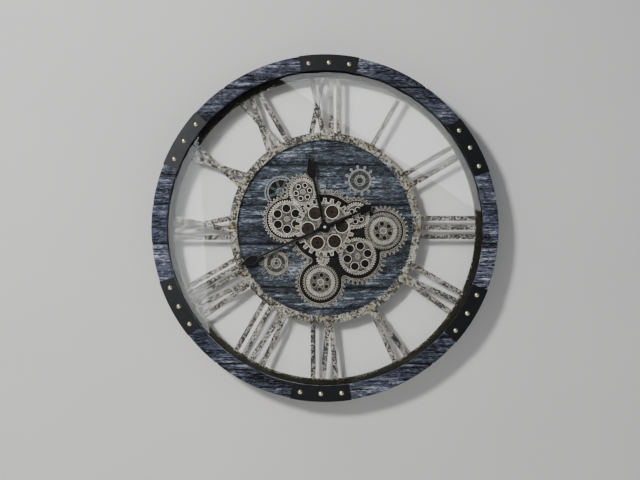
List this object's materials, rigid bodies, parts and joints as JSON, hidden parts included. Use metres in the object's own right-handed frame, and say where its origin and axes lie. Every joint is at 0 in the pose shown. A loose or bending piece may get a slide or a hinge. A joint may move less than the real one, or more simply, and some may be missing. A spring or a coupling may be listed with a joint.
{
  "type": "skeleton wall clock",
  "caption": "Large glazed wall clock with a wooden front ring, open Roman numerals, a dial of meshing gears and leaf-shaped hands.",
  "frame": {"origin": "on the hands' axis, in the plane of the wall", "axes": "dial faces -Y, +Z towards twelve, +X to the viewer's right"},
  "size_m": [0.9115, 0.0822, 0.9138],
  "materials": {
    "ring_wood": "distressed paint",
    "strap_steel": "worn black paint",
    "rivet_brass": "dull",
    "glass": "clear",
    "gasket": "matt",
    "zinc": "zinc plated",
    "shell_paint": "satin black",
    "antique_silver": "distressed silver",
    "hub_rivet_brass": "aged",
    "dial_wood": "distressed paint",
    "tray_paint": "matt dark brown",
    "gear_silver": "antique silver",
    "stud_steel": "bright",
    "drive_brass": "turned",
    "plate_steel": "brushed",
    "movement_plastic": "black",
    "board_green": "green",
    "copper": "enamelled copper wire",
    "hand_black": "satin black",
    "cell_jacket": "printed jacket"
  },
  "bodies": {
    "clock_case": {"front_ring": "ring_wood", "ring_straps": "strap_steel", "strap_rivets": "rivet_brass", "glass_pane": "glass", "glass_gasket": "gasket", "glass_clips": "zinc", "case_screws": "zinc", "rim_shell": "shell_paint", "rim_band": "antique_silver", "numeral_1": "antique_silver", "numeral_2": "antique_silver", "numeral_3": "antique_silver", "numeral_4": "antique_silver", "numeral_5": "antique_silver", "numeral_6": "antique_silver", "numeral_7": "antique_silver", "numeral_8": "antique_silver", "numeral_9": "antique_silver", "numeral_10": "antique_silver", "numeral_11": "antique_silver", "numeral_12": "antique_silver", "numeral_rivets": "hub_rivet_brass", "hub_bezel": "antique_silver", "hub_drum": "shell_paint", "dial_board": "dial_wood", "gear_tray": "tray_paint", "toothed_frame": "gear_silver", "star_wheel": "gear_silver", "window_wheel": "gear_silver", "spoked_ring": "gear_silver", "centre_bush": "drive_brass", "gear_studs": "stud_steel", "bridge_plate": "plate_steel", "motor_body": "plate_steel", "movement_case": "movement_plastic", "movement_lid": "movement_plastic", "movement_nut": "zinc", "circuit_board": "board_green", "step_motor": "copper", "battery_box": "shell_paint", "battery_cells": "cell_jacket", "back_cover": "shell_paint"},
    "centre_train": {"centre_gear": "gear_silver", "centre_arbor": "drive_brass", "drive_wheel": "drive_brass"},
    "left_wheel": {"left_gear": "gear_silver"},
    "top_wheel": {"top_gear": "gear_silver"},
    "side_wheel": {"side_gear": "gear_silver"},
    "right_wheel": {"right_gear": "gear_silver"},
    "lower_wheel": {"lower_gear": "gear_silver"},
    "bottom_wheel": {"bottom_gear": "gear_silver"},
    "idler": {"idler_gear": "gear_silver"},
    "gearmotor_pinion": {"motor_pinion": "drive_brass"},
    "minute_shaft": {"minute_arbor": "drive_brass", "minute_hand": "hand_black"},
    "hour_shaft": {"hour_pipe": "drive_brass", "hour_hand": "hand_black"},
    "reduction_wheel": {"minute_wheel": "drive_brass"},
    "knob": {"setting_knob": "movement_plastic"},
    "doors": {"battery_doors": "movement_plastic"}
  },
  "joints": [
    {"name": "centre_spin", "type": "hinge", "parent": "clock_case", "child": "centre_train", "pos_m": [0, -0.038, 0], "axis": [0, -1, 0], "continuous": true},
    {"name": "left_spin", "type": "hinge", "parent": "clock_case", "child": "left_wheel", "pos_m": [-0.10146, -0.038, 0.02286], "axis": [0, -1, 0], "continuous": true},
    {"name": "top_spin", "type": "hinge", "parent": "clock_case", "child": "top_wheel", "pos_m": [-0.05857, -0.038, 0.09509], "axis": [0, -1, 0], "continuous": true},
    {"name": "side_spin", "type": "hinge", "parent": "clock_case", "child": "side_wheel", "pos_m": [0.08419, -0.038, 0.03181], "axis": [0, -1, 0], "continuous": true},
    {"name": "right_spin", "type": "hinge", "parent": "clock_case", "child": "right_wheel", "pos_m": [0.1552, -0.038, -0.00919], "axis": [0, -1, 0], "continuous": true},
    {"name": "lower_spin", "type": "hinge", "parent": "clock_case", "child": "lower_wheel", "pos_m": [0.08685, -0.038, -0.07659], "axis": [0, -1, 0], "continuous": true},
    {"name": "bottom_spin", "type": "hinge", "parent": "clock_case", "child": "bottom_wheel", "pos_m": [-0.01129, -0.038, -0.14554], "axis": [0, -1, 0], "continuous": true},
    {"name": "idler_spin", "type": "hinge", "parent": "clock_case", "child": "idler", "pos_m": [-0.00513, -0.032, -0.08384], "axis": [0, -1, 0], "continuous": true},
    {"name": "motor_spin", "type": "hinge", "parent": "clock_case", "child": "gearmotor_pinion", "pos_m": [-0.0645, -0.025, 0], "axis": [0, -1, 0], "continuous": true},
    {"name": "minute_spin", "type": "hinge", "parent": "clock_case", "child": "minute_shaft", "pos_m": [0, -0.04, 0], "axis": [0, -1, 0], "continuous": true},
    {"name": "hour_spin", "type": "hinge", "parent": "clock_case", "child": "hour_shaft", "pos_m": [0, -0.04, 0], "axis": [0, -1, 0], "continuous": true},
    {"name": "reduction_spin", "type": "hinge", "parent": "clock_case", "child": "reduction_wheel", "pos_m": [0, -0.01, 0.0108], "axis": [0, -1, 0], "continuous": true},
    {"name": "knob_spin", "type": "hinge", "parent": "clock_case", "child": "knob", "pos_m": [0, -0.005, 0.0216], "axis": [0, -1, 0], "continuous": true},
    {"name": "door_slide", "type": "slide", "parent": "clock_case", "child": "doors", "axis": [1, 0, 0], "range_m": [0, 0.055]}
  ],
  "couplings": [
    {"joint": "left_spin", "follows": "centre_spin", "ratio": -1.1667},
    {"joint": "top_spin", "follows": "centre_spin", "ratio": 1.5556},
    {"joint": "side_spin", "follows": "centre_spin", "ratio": -1.6471},
    {"joint": "right_spin", "follows": "centre_spin", "ratio": 1.1667},
    {"joint": "lower_spin", "follows": "centre_spin", "ratio": -1.1667},
    {"joint": "idler_spin", "follows": "centre_spin", "ratio": -1.9474},
    {"joint": "bottom_spin", "follows": "centre_spin", "ratio": 0.67735},
    {"joint": "motor_spin", "follows": "centre_spin", "ratio": -6.1667},
    {"joint": "hour_spin", "follows": "minute_spin", "ratio": 0.083333},
    {"joint": "reduction_spin", "follows": "minute_spin", "ratio": -0.33333},
    {"joint": "knob_spin", "follows": "minute_spin", "ratio": 1}
  ]
}
